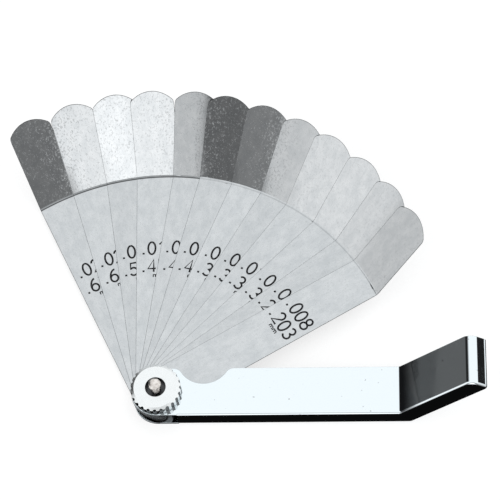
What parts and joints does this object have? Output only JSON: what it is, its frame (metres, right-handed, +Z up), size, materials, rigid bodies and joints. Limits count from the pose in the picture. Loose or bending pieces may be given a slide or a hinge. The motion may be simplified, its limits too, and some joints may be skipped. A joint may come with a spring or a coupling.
{
  "type": "feeler gauge",
  "caption": "Folding feeler gauge: bent steel blades fanned on a pivot in a bent sheet-metal case, locked by a knurled thumb nut.",
  "frame": {"origin": "on the pivot axis, at the underside of the case's bottom plate", "axes": "+X along the case from the pivot to its bend, +Y towards the open side where the blades swing out, +Z up the pivot stud, the way the case's end and the blade tips are bent"},
  "size_m": [0.1348, 0.0937, 0.0281],
  "materials": {
    "chromed_case": "bright chrome plate on folded sheet steel",
    "blade_steel": "ground and tempered spring steel, fine grain along the blade",
    "nut_plating": "satin nickel plate",
    "stud_steel": "peened plain steel",
    "etched_mark": "dark etched size numbers"
  },
  "bodies": {
    "case": {"case": "chromed_case", "pivot_screw": "stud_steel"},
    "blade_25_thou": {"blade_25_thou": "blade_steel"},
    "blade_24_thou": {"blade_24_thou": "blade_steel"},
    "blade_22_thou": {"blade_22_thou": "blade_steel"},
    "blade_18_thou": {"blade_18_thou": "blade_steel"},
    "blade_17_thou": {"blade_17_thou": "blade_steel"},
    "blade_16_thou": {"blade_16_thou": "blade_steel"},
    "blade_15_thou": {"blade_15_thou": "blade_steel"},
    "blade_14_thou": {"blade_14_thou": "blade_steel"},
    "blade_13_thou": {"blade_13_thou": "blade_steel"},
    "blade_12_thou": {"blade_12_thou": "blade_steel"},
    "blade_10_thou": {"blade_10_thou": "blade_steel"},
    "blade_08_thou": {"blade_08_thou": "blade_steel"},
    "nut_washer": {"nut_washer": "nut_plating"},
    "thumb_nut": {"thumb_nut": "nut_plating"}
  },
  "joints": [
    {"name": "blade_25_thou_swing", "type": "hinge", "parent": "case", "child": "blade_25_thou", "pos_m": [0, 0, 0], "axis": [0, 0, 1], "range_deg": [-116.7, 143.3]},
    {"name": "blade_24_thou_swing", "type": "hinge", "parent": "case", "child": "blade_24_thou", "pos_m": [0, 0, 0], "axis": [0, 0, 1], "range_deg": [-108, 152]},
    {"name": "blade_22_thou_swing", "type": "hinge", "parent": "case", "child": "blade_22_thou", "pos_m": [0, 0, 0], "axis": [0, 0, 1], "range_deg": [-99.5, 160.5]},
    {"name": "blade_18_thou_swing", "type": "hinge", "parent": "case", "child": "blade_18_thou", "pos_m": [0, 0, 0], "axis": [0, 0, 1], "range_deg": [-92, 168]},
    {"name": "blade_17_thou_swing", "type": "hinge", "parent": "case", "child": "blade_17_thou", "pos_m": [0, 0, 0], "axis": [0, 0, 1], "range_deg": [-83.1, 176.9]},
    {"name": "blade_16_thou_swing", "type": "hinge", "parent": "case", "child": "blade_16_thou", "pos_m": [0, 0, 0], "axis": [0, 0, 1], "range_deg": [-76.5, 183.5]},
    {"name": "blade_15_thou_swing", "type": "hinge", "parent": "case", "child": "blade_15_thou", "pos_m": [0, 0, 0], "axis": [0, 0, 1], "range_deg": [-68.4, 191.6]},
    {"name": "blade_14_thou_swing", "type": "hinge", "parent": "case", "child": "blade_14_thou", "pos_m": [0, 0, 0], "axis": [0, 0, 1], "range_deg": [-60.7, 199.3]},
    {"name": "blade_13_thou_swing", "type": "hinge", "parent": "case", "child": "blade_13_thou", "pos_m": [0, 0, 0], "axis": [0, 0, 1], "range_deg": [-53.6, 206.4]},
    {"name": "blade_12_thou_swing", "type": "hinge", "parent": "case", "child": "blade_12_thou", "pos_m": [0, 0, 0], "axis": [0, 0, 1], "range_deg": [-45.3, 214.7]},
    {"name": "blade_10_thou_swing", "type": "hinge", "parent": "case", "child": "blade_10_thou", "pos_m": [0, 0, 0], "axis": [0, 0, 1], "range_deg": [-37.7, 222.3]},
    {"name": "blade_08_thou_swing", "type": "hinge", "parent": "case", "child": "blade_08_thou", "pos_m": [0, 0, 0], "axis": [0, 0, 1], "range_deg": [-30.7, 229.3]},
    {"name": "nut_lift", "type": "slide", "parent": "case", "child": "nut_washer", "axis": [0, 0, 1], "range_m": [0, 0.00315]},
    {"name": "nut_turn", "type": "hinge", "parent": "nut_washer", "child": "thumb_nut", "pos_m": [0, 0, 0], "axis": [0, 0, 1], "range_deg": [0, 2521]}
  ],
  "couplings": [
    {"joint": "nut_turn", "follows": "nut_lift", "rad_per_m": 13963}
  ]
}
